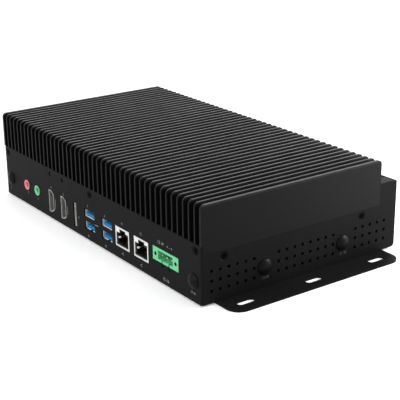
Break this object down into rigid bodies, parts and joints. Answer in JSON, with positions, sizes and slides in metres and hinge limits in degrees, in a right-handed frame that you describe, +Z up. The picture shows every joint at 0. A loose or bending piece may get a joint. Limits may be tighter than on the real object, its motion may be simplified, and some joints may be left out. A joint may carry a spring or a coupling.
{
  "type": "fanless industrial pc",
  "caption": "Fanless box computer with a black finned aluminium top, ports along one long side and a slotted mounting plate under each end.",
  "frame": {"origin": "centre of the part's footprint, in the plane of the mounting plates' underside", "axes": "+X along the port side towards the power header, +Y from the port side to the back, +Z up to the fin tips"},
  "size_m": [0.292, 0.1574, 0.0632],
  "materials": {
    "black_aluminium": "black anodised, satin",
    "black_steel": "fine black powder coat",
    "black_screws": "black oxide",
    "plain_steel": "zinc plated",
    "black_plastic": "matt moulded",
    "board_laminate": "green solder mask",
    "bare_aluminium": "machined",
    "grey_pad": "soft grey pad",
    "cell_steel": "bright nickel",
    "pink_plastic": "gloss moulded",
    "green_plastic": "gloss moulded",
    "nickel_shell": "nickel plated",
    "blue_plastic": "satin moulded",
    "clear_plastic": "frosted clear",
    "terminal_plastic": "satin moulded",
    "tinned_brass": "tinned"
  },
  "bodies": {
    "root": {"heat_sink": "black_aluminium", "case_wrap": "black_steel", "case_floor": "black_steel", "mount_plate_left": "black_steel", "mount_plate_right": "black_steel", "front_screws": "black_screws", "side_screws": "black_screws", "plate_screws": "black_screws", "plate_nuts": "plain_steel", "board_posts": "plain_steel", "board_screws": "plain_steel", "block_screws": "plain_steel", "drive_post": "plain_steel", "drive_screw": "plain_steel", "lamp_screw": "plain_steel", "front_plugs": "black_plastic", "side_plugs": "black_plastic", "memory_socket": "black_plastic", "drive_socket": "black_plastic", "cell_holder": "black_plastic", "interface_chips": "black_plastic", "power_coils": "black_plastic", "video_left_blade": "black_plastic", "video_right_blade": "black_plastic", "slim_video_blade": "black_plastic", "lan_left_housing": "black_plastic", "lan_right_housing": "black_plastic", "main_board": "board_laminate", "processor": "board_laminate", "memory_module": "board_laminate", "drive_module": "board_laminate", "lamp_board": "board_laminate", "thermal_block": "bare_aluminium", "capacitors": "bare_aluminium", "thermal_pad": "grey_pad", "coin_cell": "cell_steel", "audio_jack_pink": "pink_plastic", "audio_jack_green": "green_plastic", "video_left_shell": "nickel_shell", "video_right_shell": "nickel_shell", "slim_video_shell": "nickel_shell", "usb_left_shell": "nickel_shell", "usb_right_shell": "nickel_shell", "lan_left_shell": "nickel_shell", "lan_right_shell": "nickel_shell", "usb_left_tongues": "blue_plastic", "usb_right_tongues": "blue_plastic", "lan_left_lamps": "clear_plastic", "lan_right_lamps": "clear_plastic", "status_lamps": "clear_plastic", "power_header": "terminal_plastic", "power_pins": "tinned_brass"}
  },
  "joints": []
}
